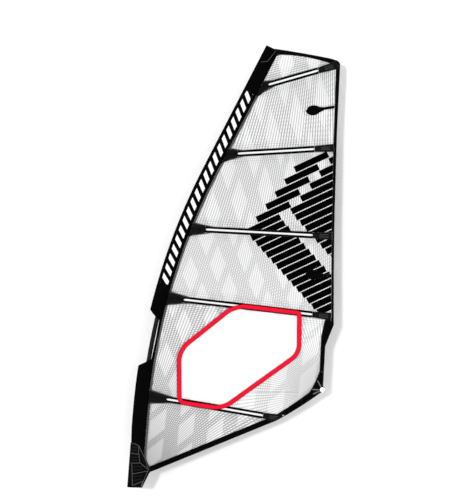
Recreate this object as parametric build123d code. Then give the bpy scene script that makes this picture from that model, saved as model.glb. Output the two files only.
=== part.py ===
"""Windsurf sail rig: a five-batten wave sail rigged on a two-piece reduced-diameter mast.

Frame: the origin is the centre of the mast's lower mouth, +Z is up, +X runs aft from the luff to the leech
and Y is square to the sail. The fabric lies on one curved surface, fabric_y(x, z), which bellies towards +Y.
All sizes are millimetres.
"""

import os
from math import atan2, cos, degrees, radians, sin, sqrt, tan

from build123d import *

# ---------------------------------------------------------------- driving dimensions

# Luff: the mast axis is a straight line, one long arc and a second straight line.
LOW_LEAN = 4.4  # degrees aft of vertical at the mast's foot
TOP_LEAN = 27.3  # degrees aft of vertical at the mast's tip
LUFF_STRAIGHT = 590.0  # from the mast's foot to the start of the arc
LUFF_RADIUS = 5780.0
ARC_LENGTH = LUFF_RADIUS * radians(TOP_LEAN - LOW_LEAN)
ARC_END = LUFF_STRAIGHT + ARC_LENGTH
HEAD_END = 4130.0  # top end of the sleeve, along the mast axis
TACK_END = -60.0  # lower end of the tack fairing, along the mast axis

# Mast
MAST_LENGTH = 4000.0
MAST_JOIN = 2000.0
MAST_R = 20.0
MAST_WALL = 4.0
MAST_SHOULDER_R = 17.0  # where the top section leaves the arc
MAST_TIP_R = 11.0
SPIGOT_HALF = 150.0
SPIGOT_CLEARANCE = 0.1

# Luff sleeve: a lens round the mast, by offsets square to the mast axis (minus is forward)
SLEEVE_FRONT_TOP = -80.0
SLEEVE_FRONT_LOW = -86.0
SLEEVE_FRONT_FOOT = -80.0  # inside the tack fairing
SLEEVE_SEAM = 47.0
SLEEVE_HALF_THICK = 25.0
SLEEVE_WALL = 1.2
SLEEVE_LOW_END = 96.0  # the sleeve stops here, and the tack fairing goes on
SLEEVE_TAPER = (352.0, 480.0)  # the sleeve narrows between these, down to the fairing
SLEEVE_SPLIT = 1300.0  # where the two halves of the sleeve meet, inside the boom cut-out
CUTOUT_LOW, CUTOUT_HIGH = 1034.0, 1542.0  # boom cut-out along the leading edge
CUTOUT_DEEP = 22.0  # the cut-out reaches this far behind the mast axis
CUTOUT_RUN = 74.0  # how far its corners run along the luff
TAPE_WIDTH = 18.0
TAPE_END = 3790.0  # the seam tape stops under the top batten's patch

# Camber of the fabric
CAMBER = 80.0
CAMBER_LOSS = 4.5e-6  # per square millimetre above the boom
BOOM_HEIGHT = 1400.0
CAMBER_CHORD = 1560.0
FLAT_FOOT, FULL_BELLY = 90.0, 900.0  # the tack is pulled flat, and the belly is full above this
FULLNESS_A, FULLNESS_B = 1.3, 0.6  # moves the deepest point forward of half chord

# Layers, as half thicknesses about the fabric's surface
FILM = 0.5
TAPE = 1.2
PATCH = 2.2
POCKET_TUBE = 8.0
POCKET_BORE = 6.8
LATH = 3.5
NOSE = 4.6
LUFF_PATCH = 9.2
LUFF_PATCH_BORE = 8.0
GAP = 0.25  # in-plane gap between neighbouring pieces of fabric

# Battens: (x, z) where the pocket leaves the luff patch, (x, z) further aft on the centreline, then x of the
# tensioner housing's aft end
BATTENS = {
    1: ((1181.7, 3569.4), (1634.4, 3700.8), 1800.0),
    2: ((906.3, 2950.0), (1595.7, 2992.5), 1772.0),
    3: ((619.2, 2267.0), (1574.0, 2215.8), 1756.0),
    4: ((420.3, 1634.4), (1575.0, 1501.2), 1750.0),
    5: ((266.4, 737.0), (1152.0, 586.8), 1304.0),
}
POCKET_WIDTH = 56.0
TUBE_WIDTH = 20.0
LATH_WIDTH = 10.0
NOSE_WIDTH = 14.0
LUFF_PATCH_WIDE = 164.0  # at its hidden end, 60 mm forward of the seam
LUFF_PATCH_NARROW = 56.0

# Batten tensioner
HOUSING_LENGTH = 172.0
HOUSING_NARROW, HOUSING_WIDE = 50.0, 70.0
HOUSING_HALF = 9.5
HOUSING_GAP = 2.0  # between the housing and the pocket's end
HEEL_GUARD, HEEL_SLOPE = (1255.5, 559.0), 0.47  # a strip of the foot's trim runs on below this line
MINI_BATTENS = ((1519.0, 3333.0, 0.0), (1516.0, 1866.0, -12.7))  # forward tip and tilt in degrees
PAST_LEECH = 60.0  # how far the cut-outs for the housings run on past the leech
SLIDER = (50.0, 16.0, 12.0)
SLIDER_START = 12.0
SLIDER_CLEARANCE = 0.6
SOCKET_DEPTH = 24.0
CAVITY_END = 76.0
SCREW_R = 3.0
SCREW_HEAD_R = 6.0
SCREW_HEAD_LONG = 8.0
SCREW_SEAT = 112.0  # floor of the pocket for the screw's head
SCREW_TRAVEL = 6.0
KEY_FLATS = 6.0
KEY_DEPTH = 5.0

# Clew
CLEW = (1668.6, 823.5)
EYELET_R = 10.0
EYELET_WALL = 2.5
EYELET_FLANGE_R = 18.5
EYELET_HALF = 4.6

# Window and its border, outer corners with their radii
WINDOW = [
    ((874, 1606), 130),
    ((356, 1187), 150),
    ((360, 692), 55),
    ((774, 628), 90),
    ((1480, 1136), 110),
    ((1482, 1531), 40),
]
BORDER_WIDTH = 41.0

# Tack
FAIRING_TOP = 346.0
FAIRING_GAP = 0.8
FAIRING_WALL = 2.6
FAIRING_FRONT = -82.0
FLAP_MARGIN = 1.0
ROLLER_R, ROLLER_LONG, ROLLER_PITCH = 8.0, 8.0, 9.0
ROLLER_BORE_R = 2.6
AXLE_R = 2.5
PULLEY_AT = (44.0, 14.0)  # offset behind the mast axis, and height along it
CHEEK = 2.0

os.makedirs("parts", exist_ok=True)


# ---------------------------------------------------------------- the luff and the fabric's surface


def luff_point(along, aft=0.0):
    """(x, z) at a length along the mast axis, moved square to it."""
    low, top = radians(LOW_LEAN), radians(TOP_LEAN)
    bend = low + (along - LUFF_STRAIGHT) / LUFF_RADIUS
    lean = min(max(bend, low), top)
    x = min(along, LUFF_STRAIGHT) * sin(low)
    z = min(along, LUFF_STRAIGHT) * cos(low)
    x += LUFF_RADIUS * (cos(low) - cos(lean))
    z += LUFF_RADIUS * (sin(lean) - sin(low))
    past = max(along - ARC_END, 0.0)
    x += past * sin(top) + aft * cos(lean)
    z += past * cos(top) - aft * sin(lean)
    return x, z


def luff_x(z, aft=SLEEVE_SEAM):
    """x of the luff line at a height."""
    lo, hi = -400.0, 5000.0
    while hi - lo > 1e-6:
        mid = (lo + hi) / 2
        lo, hi = (mid, hi) if luff_point(mid, aft)[1] < z else (lo, mid)
    return luff_point(lo, aft)[0]


def fabric_y(x, z):
    """How far the rigged fabric bellies towards +Y at a place on the sail."""
    q = (x - luff_x(z)) / CAMBER_CHORD
    shape = 4 * q * (1 - q) * (FULLNESS_A - FULLNESS_B * q)
    deep = CAMBER - CAMBER_LOSS * max(z - BOOM_HEIGHT, 0.0) ** 2
    rise = min(max((z - FLAT_FOOT) / (FULL_BELLY - FLAT_FOOT), 0.0), 1.0)
    return deep * shape * rise * rise * (3 - 2 * rise)


def fabric_face():
    """The rigged surface as one smooth face that reaches past every edge of the sail."""
    columns, rows = 15, 33
    low, high, front, back = -160.0, 4060.0, -60.0, 1760.0
    grid = []
    for i in range(columns):
        s = front + (back - front) * i / (columns - 1)
        line = []
        for j in range(rows):
            z = low + (high - low) * j / (rows - 1)
            x = luff_x(z) + s
            line.append(Vector(x, fabric_y(x, z), z))
        grid.append(line)
    return Face.make_surface_from_array_of_points(grid, tol=0.05)


FABRIC = fabric_face()


def layer(near, far):
    """The slab between two offsets of the fabric's surface, along Y."""
    return Solid.extrude(FABRIC.moved(Location((0, near, 0))), Vector(0, far - near, 0))


def upright(flat):
    """A prism right through the rig over a flat (x, z) shape."""
    return extrude(Plane.XZ * flat, amount=200, both=True)


def cloth(flat, half):
    """A piece of fabric: a flat shape laid on the surface, that far to each side."""
    return upright(flat) & layer(-half, half)


def save(shape, name):
    solids = list(shape.solids())
    export_step(Compound(children=solids) if len(solids) > 1 else solids[0], f"parts/{name}.step")


# ---------------------------------------------------------------- flat outlines, as (x, z)


def luff_edges(aft, start, end):
    """The luff line at an offset, cut at the ends of its arc."""
    inner = [t for t in (LUFF_STRAIGHT, ARC_END) if start < t < end]
    stops = [start, *inner, end]
    edges = []
    for a, b in zip(stops, stops[1:]):
        first, last = luff_point(a, aft), luff_point(b, aft)
        if a >= LUFF_STRAIGHT and b <= ARC_END:
            edges.append(ThreePointArc(first, luff_point((a + b) / 2, aft), last))
        else:
            edges.append(Line(first, last))
    return edges


def luff_band(front, back, start, end):
    """The strip of the luff between two offsets and two lengths."""
    edges = luff_edges(front, start, end) + luff_edges(back, start, end)
    edges.append(Line(luff_point(start, front), luff_point(start, back)))
    edges.append(Line(luff_point(end, front), luff_point(end, back)))
    return make_face(edges)


def strip(a, b, width, narrow=None):
    """A straight strip from a to b, as wide as width at a and narrow at b."""
    half_a, half_b = width / 2, (narrow or width) / 2
    along = (Vector(*b) - Vector(*a)).normalized()
    side = Vector(-along.Y, along.X)
    corners = [
        Vector(*a) + side * half_a,
        Vector(*b) + side * half_b,
        Vector(*b) - side * half_b,
        Vector(*a) - side * half_a,
    ]
    return make_face(Polyline(*corners, close=True))


def sail_edge():
    """The outer edge of the sail behind the sleeve, and the inner edge of its black trims."""
    foot, heel = (132.0, 88.0), (1255.5, 543.6)
    peak, tip, shoulder = (1237.0, 3893.0), (1831.0, 3753.0), (1771.0, 1408.5)
    slack, above_clew = (1694.5, 1214.0), (1675.0, 854.0)  # where the leech falls off below the shoulder
    outer = [
        Line(luff_point(HEAD_END - 22, SLEEVE_SEAM), peak),
        ThreePointArc(peak, (1500.0, 3854.0), (1745.0, 3809.0)),
        Line((1745.0, 3809.0), (1792.0, 3794.0)),
        ThreePointArc((1792.0, 3794.0), (1818.0, 3780.0), tip),
        ThreePointArc(tip, (1792.0, 2850.0), shoulder),
        Line(shoulder, slack),
        Line(slack, above_clew),
        ThreePointArc(above_clew, (1683.0, 818.0), (1657.0, 800.0)),
        ThreePointArc((1657.0, 800.0), (1460.0, 664.0), heel),
        Line(heel, foot),
        Line(foot, luff_point(100.0, SLEEVE_SEAM)),
        *luff_edges(SLEEVE_SEAM, 100.0, HEAD_END - 22),
    ]
    inner = [
        ThreePointArc((1240.0, 3801.0), (1260.0, 3827.0), (1318.0, 3838.0)),
        ThreePointArc((1318.0, 3838.0), (1560.0, 3812.0), (1793.0, 3745.0)),
        ThreePointArc((1793.0, 3745.0), (1765.0, 2850.0), (1748.0, 1500.0)),
        Line((1748.0, 1500.0), (1689.0, 1444.0)),
        Line((1689.0, 1444.0), (1658.0, 1305.0)),
        Line((1658.0, 1305.0), (1643.0, 994.0)),
        ThreePointArc((1643.0, 994.0), (1601.0, 888.0), (1552.0, 800.0)),
        ThreePointArc((1552.0, 800.0), (1400.0, 692.0), (1237.0, 589.0)),
        Line((1237.0, 589.0), (113.0, 134.0)),
        Line((113.0, 134.0), luff_point(170.0, 30.0)),
        *luff_edges(30.0, 170.0, 4044.0),
        Line(luff_point(4044.0, 30.0), (1240.0, 3801.0)),
    ]
    return make_face(outer), make_face(inner)


def window_outline(inset):
    """The window's rounded outline, moved in from the border's outer edge."""
    corners = [c for c, _ in WINDOW]
    radii = [r for _, r in WINDOW]
    outline = FilletPolyline(*corners, radius=radii, close=True)
    face = make_face(outline)
    return offset(face, -inset) if inset else face


def grown(flat):
    return offset(flat, GAP)


class Batten:
    """The places of one batten: along is measured from the luff seam, down its centreline."""

    def __init__(self, number):
        a, b, leech_x = BATTENS[number]
        self.number = number
        self.slope = (b[1] - a[1]) / (b[0] - a[0])
        self.at = lambda x: (x, a[1] + self.slope * (x - a[0]))
        x = a[0]
        for _ in range(20):  # walk to where the centreline meets the luff seam
            x = luff_x(self.at(x)[1])
        self.step = cos(atan2(self.slope, 1.0))
        self.seam_x = x
        self.long = (leech_x - x) / self.step
        self.housing_at = self.long - HOUSING_LENGTH
        self.patch_long = (a[0] - x) / self.step

    def point(self, along):
        return self.at(self.seam_x + along * self.step)

    def strip(self, start, end, width, narrow=None):
        return strip(self.point(start), self.point(end), width, narrow)

    def frame(self):
        """Local frame of the tensioner: x runs aft along the batten, y in the cloth and z square to it."""
        start, end = self.point(self.housing_at), self.point(self.long)
        a = Vector(start[0], fabric_y(*start), start[1])
        b = Vector(end[0], fabric_y(*end), end[1])
        ahead = (b - a).normalized()
        return Plane(origin=a, x_dir=ahead, z_dir=ahead.cross(Vector(0, 0, 1)).normalized())


def box_between(x0, x1, half_y, half_z):
    return Pos((x0 + x1) / 2, 0, 0) * Box(x1 - x0, 2 * half_y, 2 * half_z)


def rod_between(x0, x1, radius):
    return Pos((x0 + x1) / 2, 0, 0) * Rot(0, 90, 0) * Cylinder(radius, x1 - x0)


# ---------------------------------------------------------------- mast


def luff_plane(along, aft=0.0):
    """A plane square to the mast axis: its x runs aft, its y is the rig's -Y or +Y and its normal runs up."""
    x, z = luff_point(along, aft)
    x2, z2 = luff_point(along + 1.0, aft)
    up = Vector(x2 - x, 0, z2 - z).normalized()
    aft_dir = Vector(0, 1, 0).cross(up)
    return Plane(origin=(x, 0, z), x_dir=aft_dir, z_dir=up)


def along_luff(section, start, end):
    """A flat section (x aft of the mast axis, y sideways) carried along the luff."""
    solid = None
    stops = [start, *[t for t in (LUFF_STRAIGHT, ARC_END) if start < t < end], end]
    centre = luff_point(LUFF_STRAIGHT, LUFF_RADIUS)
    turn_axis = Axis((centre[0], 0, centre[1]), (0, 1, 0))
    for a, b in zip(stops, stops[1:]):
        flat = luff_plane(a) * section
        if a >= LUFF_STRAIGHT and b <= ARC_END + 1e-6:
            piece = revolve(flat, turn_axis, degrees((b - a) / LUFF_RADIUS))
        else:
            piece = extrude(flat, amount=b - a)
        solid = piece if solid is None else solid + piece
    return solid


def mast_sections():
    bottom = along_luff(Circle(MAST_R) - Circle(MAST_R - MAST_WALL), 0, MAST_JOIN)
    start, middle, end = luff_point(MAST_JOIN), luff_point((MAST_JOIN + ARC_END) / 2), luff_point(ARC_END)
    path = Plane.XZ * ThreePointArc(start, middle, end)
    rings = [luff_plane(MAST_JOIN) * Circle(MAST_R), luff_plane(ARC_END) * Circle(MAST_SHOULDER_R)]
    shank = sweep(rings, path=path, multisection=True)
    tip = loft([luff_plane(ARC_END) * Circle(MAST_SHOULDER_R), luff_plane(MAST_LENGTH) * Circle(MAST_TIP_R)])
    top = shank + tip
    top -= along_luff(Circle(MAST_SHOULDER_R - MAST_WALL), MAST_JOIN, ARC_END)
    top -= along_luff(Circle(MAST_TIP_R - MAST_WALL), ARC_END - 1, MAST_LENGTH)
    top -= along_luff(Circle(MAST_R - MAST_WALL), MAST_JOIN, MAST_JOIN + SPIGOT_HALF + 2)
    spigot_r = MAST_R - MAST_WALL - SPIGOT_CLEARANCE
    spigot = along_luff(Circle(spigot_r) - Circle(spigot_r - 3), MAST_JOIN - SPIGOT_HALF, MAST_JOIN + SPIGOT_HALF)
    save(bottom, "mast_bottom_section")
    save(top, "mast_top_section")
    save(spigot, "mast_ferrule")


def head_cap():
    """The cup in the sail's head that sits over the mast's tip."""
    cap = along_luff(Circle(MAST_TIP_R + 6), MAST_LENGTH - 45, MAST_LENGTH + 22)
    clear = MAST_TIP_R + 0.6
    start, end = luff_plane(MAST_LENGTH - 46), luff_plane(MAST_LENGTH + 0.5)
    cap -= loft([start * Circle(clear + 0.5), end * Circle(clear)])
    save(cap, "head_cap")


# ---------------------------------------------------------------- luff sleeve


def lens(front, back, half, inset=0.0):
    """A lens section between two offsets from the mast axis, moved in by inset."""
    middle, reach = (front + back) / 2, (back - front) / 2
    radius = (reach * reach + half * half) / (2 * half)
    side = Pos(middle, half - radius) * Circle(radius - inset)
    return side & (Pos(middle, radius - half) * Circle(radius - inset))


def cutout():
    """The boom cut-out, with corners that sweep in from the leading edge."""
    front = SLEEVE_FRONT_LOW - 20
    points = [
        luff_point(CUTOUT_LOW - 12, front),
        luff_point(CUTOUT_LOW, SLEEVE_FRONT_LOW),
        luff_point(CUTOUT_LOW + 26, -48),
        luff_point(CUTOUT_LOW + CUTOUT_RUN, CUTOUT_DEEP),
        luff_point((CUTOUT_LOW + CUTOUT_HIGH) / 2, CUTOUT_DEEP + 5),
        luff_point(CUTOUT_HIGH - CUTOUT_RUN, CUTOUT_DEEP),
        luff_point(CUTOUT_HIGH - 32, -44),
        luff_point(CUTOUT_HIGH, SLEEVE_FRONT_TOP),
        luff_point(CUTOUT_HIGH + 8, front),
    ]
    return upright(make_face(Polyline(*points, close=True)))


def sleeve():
    skin, walls = {}, {}
    for name, front in (("foot", SLEEVE_FRONT_FOOT), ("low", SLEEVE_FRONT_LOW), ("top", SLEEVE_FRONT_TOP)):
        outer = lens(front, SLEEVE_SEAM, SLEEVE_HALF_THICK)
        inner = lens(front, SLEEVE_SEAM, SLEEVE_HALF_THICK, SLEEVE_WALL)
        walls[name] = (outer, inner)
        skin[name] = outer - inner
    notch = cutout()
    start, end = SLEEVE_TAPER
    full, hollow = (loft([luff_plane(start) * walls["foot"][k], luff_plane(end) * walls["low"][k]]) for k in (0, 1))
    low = along_luff(skin["foot"], SLEEVE_LOW_END, start) + (full - hollow)
    low = low + along_luff(skin["low"], end, SLEEVE_SPLIT) - notch
    top = along_luff(skin["top"], SLEEVE_SPLIT + GAP, HEAD_END) - notch
    save(low, "luff_sleeve_lower")
    save(top, "luff_sleeve_upper")


# ---------------------------------------------------------------- battens and tensioners


def tensioner_solids():
    """The tensioner in its own frame: housing, slider and screw. x = 0 is the housing's forward end."""
    long, narrow, wide = HOUSING_LENGTH, HOUSING_NARROW / 2, HOUSING_WIDE / 2
    outline = make_face(Polyline((0, narrow), (long, wide), (long, -wide), (0, -narrow), close=True))
    housing = extrude(outline, amount=HOUSING_HALF, both=True)
    housing = chamfer(housing.edges().filter_by(Plane.XY).group_by(Axis.Z)[-1], 3.0)
    housing = chamfer(housing.edges().filter_by(Plane.XY).group_by(Axis.Z)[0], 3.0)
    size_x, size_y, size_z = SLIDER
    half_y, half_z = size_y / 2, size_z / 2
    housing -= box_between(-1, CAVITY_END, half_y + SLIDER_CLEARANCE, half_z + SLIDER_CLEARANCE)
    housing -= rod_between(CAVITY_END - 1, long + 1, SCREW_R + 0.4)
    housing -= rod_between(SCREW_SEAT, long + 1, SCREW_HEAD_R + 0.6)
    slider = box_between(SLIDER_START, SLIDER_START + size_x, half_y, half_z)
    socket_y, socket_z = LATH_WIDTH / 2 + 0.6, LATH + 1.2
    slider -= box_between(SLIDER_START - 1, SLIDER_START + SOCKET_DEPTH, socket_y, socket_z)
    slider -= rod_between(SLIDER_START + SOCKET_DEPTH + 7.5, SLIDER_START + size_x + 1, SCREW_R + 0.08)
    shank_start = SLIDER_START + SOCKET_DEPTH + 8
    head_start = SCREW_SEAT + SCREW_TRAVEL + 1
    screw = rod_between(shank_start, head_start + 1, SCREW_R)
    screw += rod_between(head_start, head_start + SCREW_HEAD_LONG, SCREW_HEAD_R)
    key = extrude(RegularPolygon(KEY_FLATS / 2, 6, major_radius=False), amount=KEY_DEPTH + 1)
    screw -= Pos(head_start + SCREW_HEAD_LONG + 1, 0, 0) * Rot(0, -90, 0) * key
    return housing, slider, screw


def heel_guard(lift):
    """Everything below a line just inside the foot's edge, where the lowest housing is cut off slantwise."""
    (x, z), reach = HEEL_GUARD, 300.0
    left, right = z + lift - reach * HEEL_SLOPE, z + lift + reach * HEEL_SLOPE
    return make_face(Polyline((x - reach, left), (x + reach, right), (x + reach, 200), (x - reach, 200), close=True))


def battens_and_pockets():
    """Every batten with its nose, slider, screw, pocket, luff patch and tensioner housing."""
    housing, slider, screw = tensioner_solids()
    housings, patches, footprints, trim_cuts = [], [], [], []
    for number in BATTENS:
        b = Batten(number)
        place = b.frame()
        lath_end = b.housing_at + SLIDER_START + SOCKET_DEPTH - 2
        nose = cloth(b.strip(14, 74, NOSE_WIDTH), NOSE)
        lath = cloth(b.strip(74.2, lath_end, LATH_WIDTH), LATH)
        save(lath, f"batten_{number}")
        save(Compound(children=[*nose.solids(), place.location * slider]), f"batten_{number}_end_fittings")
        save(place.location * screw, f"tension_screw_{number}")
        placed = place.location * housing
        housings.append(placed - upright(heel_guard(0)) if number == 5 else placed)

        pocket_start, pocket_end = b.patch_long + GAP, b.housing_at - HOUSING_GAP
        tube = b.strip(pocket_start, pocket_end, TUBE_WIDTH)
        edge = b.strip(pocket_start, pocket_end, POCKET_WIDTH)
        bore = b.strip(b.patch_long - 5, b.housing_at + 5, TUBE_WIDTH - 2.4)
        pocket = cloth(tube, POCKET_TUBE) + cloth(edge, TAPE) - cloth(bore, POCKET_BORE)
        save(pocket, f"batten_pocket_{number}")

        patch = b.strip(-60, b.patch_long, LUFF_PATCH_WIDE, LUFF_PATCH_NARROW)
        patch -= luff_band(-150, SLEEVE_SEAM + GAP, 0, HEAD_END)
        hollow = b.strip(-60, b.patch_long + 5, TUBE_WIDTH - 2.4)
        patches += (cloth(patch, LUFF_PATCH) - cloth(hollow, LUFF_PATCH_BORE)).solids()
        room = 2 * GAP
        past_wide = HOUSING_WIDE + (HOUSING_WIDE - HOUSING_NARROW) * PAST_LEECH / HOUSING_LENGTH
        shared = [
            b.strip(b.patch_long - 1, b.housing_at, POCKET_WIDTH + room),
            b.strip(-60, b.patch_long + GAP, LUFF_PATCH_WIDE + room, LUFF_PATCH_NARROW + room),
        ]
        past = b.strip(b.housing_at - HOUSING_GAP, b.long + PAST_LEECH, HOUSING_NARROW + room, past_wide + room)
        beside = b.strip(b.housing_at - HOUSING_GAP, b.long + GAP, HOUSING_NARROW + room, HOUSING_WIDE + room)
        footprints += [*shared, past]
        trim_cuts += [*shared, past - heel_guard(-2 * GAP) if number == 5 else beside]
    save(Compound(children=housings), "tensioner_housings")
    save(Compound(children=patches), "luff_batten_patches")
    return footprints, trim_cuts


# ---------------------------------------------------------------- panels, window, trims


def mini_battens():
    """Two short leech battens, each in a teardrop patch whose thin tail runs on into the leech's trim."""
    outline = [
        Line((0, 0), (26, 40)),
        ThreePointArc((26, 40), (72, 53), (124, 40)),
        Polyline((124, 40), (160, 37), (300, 57), (300, 33), (175, 14), (124, -11)),
        ThreePointArc((124, -11), (66, -37), (14, -18)),
        Line((14, -18), (0, 0)),
    ]
    return [Pos(x, z) * Rot(0, 0, turn) * make_face(outline) for x, z, turn in MINI_BATTENS]


def panels(footprints, trim_cuts):
    outer, inner = sail_edge()
    border_out, border_in = window_outline(0), window_outline(BORDER_WIDTH)
    minis = mini_battens()
    tape = luff_band(SLEEVE_SEAM + GAP, SLEEVE_SEAM + TAPE_WIDTH, 150, TAPE_END) & inner
    clear = inner - luff_band(-150, SLEEVE_SEAM + TAPE_WIDTH + GAP, 0, TAPE_END)
    clear -= luff_band(-150, SLEEVE_SEAM + GAP, TAPE_END - 1, HEAD_END)
    for cut in [*footprints, grown(border_out), *[grown(m) for m in minis]]:
        clear -= cut
    by_height = sorted((f for f in clear.faces() if f.area > 1000), key=lambda f: -f.center().Y)
    names = ["film_head", "film_upper", "film_middle", "film_lower", "film_luff", "film_clew", "film_foot"]
    low = sorted(by_height[4:6], key=lambda f: f.center().X)
    for name, face in zip(names, by_height[:4] + low + by_height[6:]):
        save(cloth(face, FILM), name)
    print("film areas", [round(f.area / 1e6, 3) for f in by_height])

    tape_flat, window, border = tape, border_in, border_out - grown(border_in)
    for cut in footprints:
        tape_flat -= cut
        window -= cut
        border -= cut
    save(cloth(tape_flat, TAPE), "luff_seam_tape")
    save(cloth(window, FILM), "window")
    sides = cloth(border, TAPE)
    over = []
    for number in (4, 5):
        b = Batten(number)
        tube = b.strip(b.patch_long + 2, b.housing_at - 2, TUBE_WIDTH) & (border_out - border_in)
        for near in (POCKET_TUBE + 0.3, -POCKET_TUBE - 1.3):
            over += (upright(tube) & layer(near, near + 1.0)).solids()
    save(Compound(children=[*sides.solids(), *over]), "window_border")
    save(Compound(children=[s for m in minis for s in cloth(m & inner, PATCH).solids()]), "leech_mini_battens")

    rim = outer - grown(inner)
    for cut in trim_cuts:
        rim -= cut
    rim -= luff_band(-150, SLEEVE_SEAM + GAP, 0, HEAD_END)
    clew_box = make_face(Polyline((1480, 600), (1800, 600), (1800, 985), (1480, 985), close=True))
    low_box = make_face(Polyline((0, 0), (1479.7, 0), (1479.7, 1000), (0, 1000), close=True))
    leech_box = make_face(Polyline((1500, 985.3), (1900, 985.3), (1900, 3745), (1500, 3745), close=True))
    head_box = make_face(Polyline((1000, 3745.3), (1900, 3745.3), (1900, 4000), (1000, 4000), close=True))
    hole = Pos(*CLEW) * Circle(EYELET_R + EYELET_WALL + 0.3)
    save(cloth((rim & clew_box) - hole, PATCH), "clew_patch")
    save(cloth(rim & low_box, TAPE), "foot_trim")
    save(cloth(rim & leech_box, TAPE), "leech_trim")
    save(cloth(rim & head_box, TAPE), "head_trim")


def clew():
    """The pressed eyelet for the outhaul and its webbing."""
    x, z = CLEW
    y = fabric_y(x, z)
    ahead = Vector(2, fabric_y(x + 1, z) - fabric_y(x - 1, z), 0)
    up = Vector(0, fabric_y(x, z + 1) - fabric_y(x, z - 1), 2)
    square = Plane(origin=(x, y, z), x_dir=ahead, z_dir=ahead.cross(up))
    inner, outer, flange = EYELET_R, EYELET_R + EYELET_WALL, EYELET_FLANGE_R
    ring = Cylinder(outer, 2 * EYELET_HALF)
    for side in (1, -1):
        ring += Pos(0, 0, side * (EYELET_HALF - 0.8)) * Cylinder(flange, 1.6)
    ring -= Cylinder(inner, 3 * EYELET_HALF)
    save(square.location * ring, "clew_eyelet")
    print("clew eyelet at", square.origin, "axis", square.z_dir)
    straps = []
    for turn in (118.0, 179.0, 205.0):
        ahead = (cos(radians(turn)), sin(radians(turn)))
        start = (x + 21 * ahead[0], z + 21 * ahead[1])
        end = (x + 92 * ahead[0], z + 92 * ahead[1])
        for near in (PATCH + 0.2, -PATCH - 1.6):
            straps += (upright(strip(start, end, 10)) & layer(near, near + 1.4)).solids()
    save(Compound(children=straps), "clew_webbing")


# ---------------------------------------------------------------- tack


def fairing_section(wall_in, wall_out):
    """Half the fairing's section on +Y: round the leading edge, over the mast and back to a flat tail."""

    def half(out):
        nose = (FAIRING_FRONT - out, 0.4)
        top = (-12.0, SLEEVE_HALF_THICK + FAIRING_GAP + out)
        knee = (66.0, 15.0 + out)
        tail = (134.0, 3.2 + out)
        return nose, top, knee, tail

    n0, t0, k0, e0 = half(wall_in)
    n1, t1, k1, e1 = half(wall_out)
    inner = [ThreePointArc(n0, (-57.0, t0[1] - 8.8), t0), Line(t0, k0), Line(k0, e0)]
    outer = [ThreePointArc(n1, (-58.5, t1[1] - 8.4), t1), Line(t1, k1), Line(k1, e1)]
    return make_face([*inner, Line(e0, e1), *outer, Line(n1, n0)])


def tack_fairing():
    """The moulded guard round the tack: a fixed half on +Y and a flap on -Y that hinges at the leading edge."""
    plate = make_face(
        Polyline((-140, -52), (46, -56), (112, 76), (128, 90), (116, 120), (18, 334), (-10, 344), (-140, 352), close=True)
    )
    half = along_luff(fairing_section(0, FAIRING_WALL), TACK_END, FAIRING_TOP + 20)
    half &= upright(plate)
    flap = half.mirror(Plane.XZ)
    save(half, "tack_fairing")
    save(flap, "tack_flap")
    x0, z0 = luff_point(-40, FAIRING_FRONT - FAIRING_WALL)
    x1, z1 = luff_point(320, FAIRING_FRONT - FAIRING_WALL)
    print("flap hinge through", (round(x0, 3), 0, round(z0, 3)), "to", (round(x1, 3), 0, round(z1, 3)))


def tack_pulley():
    """Three rollers side by side on one axle between two cheeks, hung from a webbing loop."""
    aft, up = PULLEY_AT
    local = luff_plane(up, aft)  # x aft, z up the mast
    rollers_long = 3 * ROLLER_PITCH
    half = rollers_long / 2 + 0.4
    axle = rod_between(-half - CHEEK, half + CHEEK, AXLE_R)
    for i in range(3):
        x = (i - 1) * ROLLER_PITCH
        roller = rod_between(x - ROLLER_LONG / 2, x + ROLLER_LONG / 2, ROLLER_R)
        waist = Pos(x, 0, 0) * Rot(0, 90, 0) * Torus(ROLLER_R + 1.6, 3.0)
        roller -= waist
        roller -= rod_between(x - ROLLER_LONG, x + ROLLER_LONG, ROLLER_BORE_R)
        save(local.location * roller, f"tack_roller_{i + 1}")
    save(local.location * axle, "tack_axle")
    frame = Pos(0, 0, 4) * Box(2 * (half + CHEEK), 12, 32)
    frame -= Pos(0, 0, 4 - 3) * Box(2 * half, 14, 32)
    frame += Pos(0, 0, 26) * Box(2 * (half + CHEEK), 4, 14)
    frame -= Pos(0, 0, 28) * Box(2 * half - 2, 6, 5)
    frame -= rod_between(-40, 40, AXLE_R)
    save(local.location * frame, "tack_pulley_frame")
    web = Box(2 * half - 4, 1.6, 52)
    webbing = [local.location * Pos(0, side * 3.0, 50) * web for side in (1, -1)]
    save(Compound(children=webbing), "tack_webbing")


def main():
    mast_sections()
    head_cap()
    sleeve()
    panels(*battens_and_pockets())
    clew()
    tack_fairing()
    tack_pulley()
    for number in BATTENS:
        place = Batten(number).frame()
        print("batten", number, "axis", place.x_dir, "at", place.origin)


main()
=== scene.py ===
# %% [markdown]
# # A wave sail on its mast
# A windsurf sail is flat film and cloth, cut and sewn so that it becomes a wing once a bent mast fills its luff
# sleeve. This lesson dresses a finished CAD frame of such a rig in Blender. Every soft piece is modelled as
# what it is, a thin sheet with its seams and stitches, and every hard piece keeps its CAD shape.

# %% Load the frame
from math import atan2, ceil, cos, exp, hypot, pi, radians, sin, sqrt

import bmesh
import bpy
from mathutils import Matrix, Vector
from mathutils.bvhtree import BVHTree


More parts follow.
